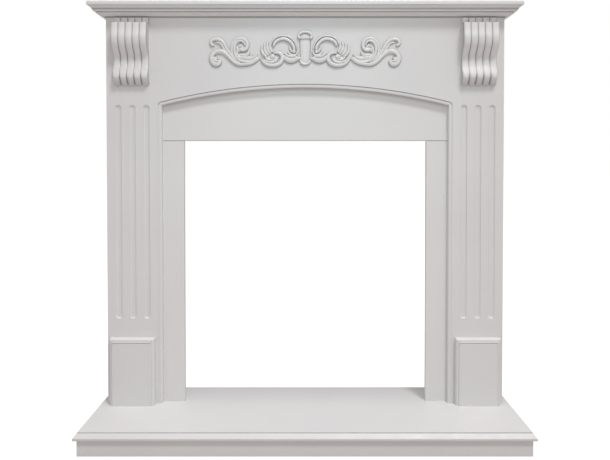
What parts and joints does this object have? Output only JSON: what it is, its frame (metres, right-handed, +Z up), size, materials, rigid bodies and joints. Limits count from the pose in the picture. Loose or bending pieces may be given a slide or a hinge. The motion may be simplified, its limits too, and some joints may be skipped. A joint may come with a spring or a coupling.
{
  "type": "fireplace mantelpiece",
  "caption": "White painted fireplace surround with a moulded shelf, reeded corbels, fluted legs, a shallow arch and a scroll ornament, standing on its own raised hearth.",
  "frame": {"origin": "on the floor, at the middle of the hearth's width and depth", "axes": "+X to the right of someone who faces the fireplace, -Y towards that person, +Z up"},
  "size_m": [1.066, 0.332, 1.0545],
  "materials": {
    "board_paint": "fibreboard with smooth satin white paint",
    "slip_paint": "fibreboard slips with smooth satin white paint",
    "moulding_paint": "machined moulding with satin white paint, a little fuller in the quirks",
    "ornament_paint": "cast scroll ornament with satin white paint"
  },
  "bodies": {
    "root": {"hearth_slab": "board_paint", "hearth_front_rail": "board_paint", "hearth_left_rail": "board_paint", "hearth_right_rail": "board_paint", "hearth_back_rail": "board_paint", "front_board": "board_paint", "left_side_panel": "board_paint", "right_side_panel": "board_paint", "header_slip": "slip_paint", "left_slip": "slip_paint", "right_slip": "slip_paint", "mantel_shelf": "board_paint", "cornice_front": "moulding_paint", "cornice_left": "moulding_paint", "cornice_right": "moulding_paint", "left_corbel": "moulding_paint", "right_corbel": "moulding_paint", "left_plinth_block": "board_paint", "right_plinth_block": "board_paint", "scroll_ornament": "ornament_paint"}
  },
  "joints": []
}
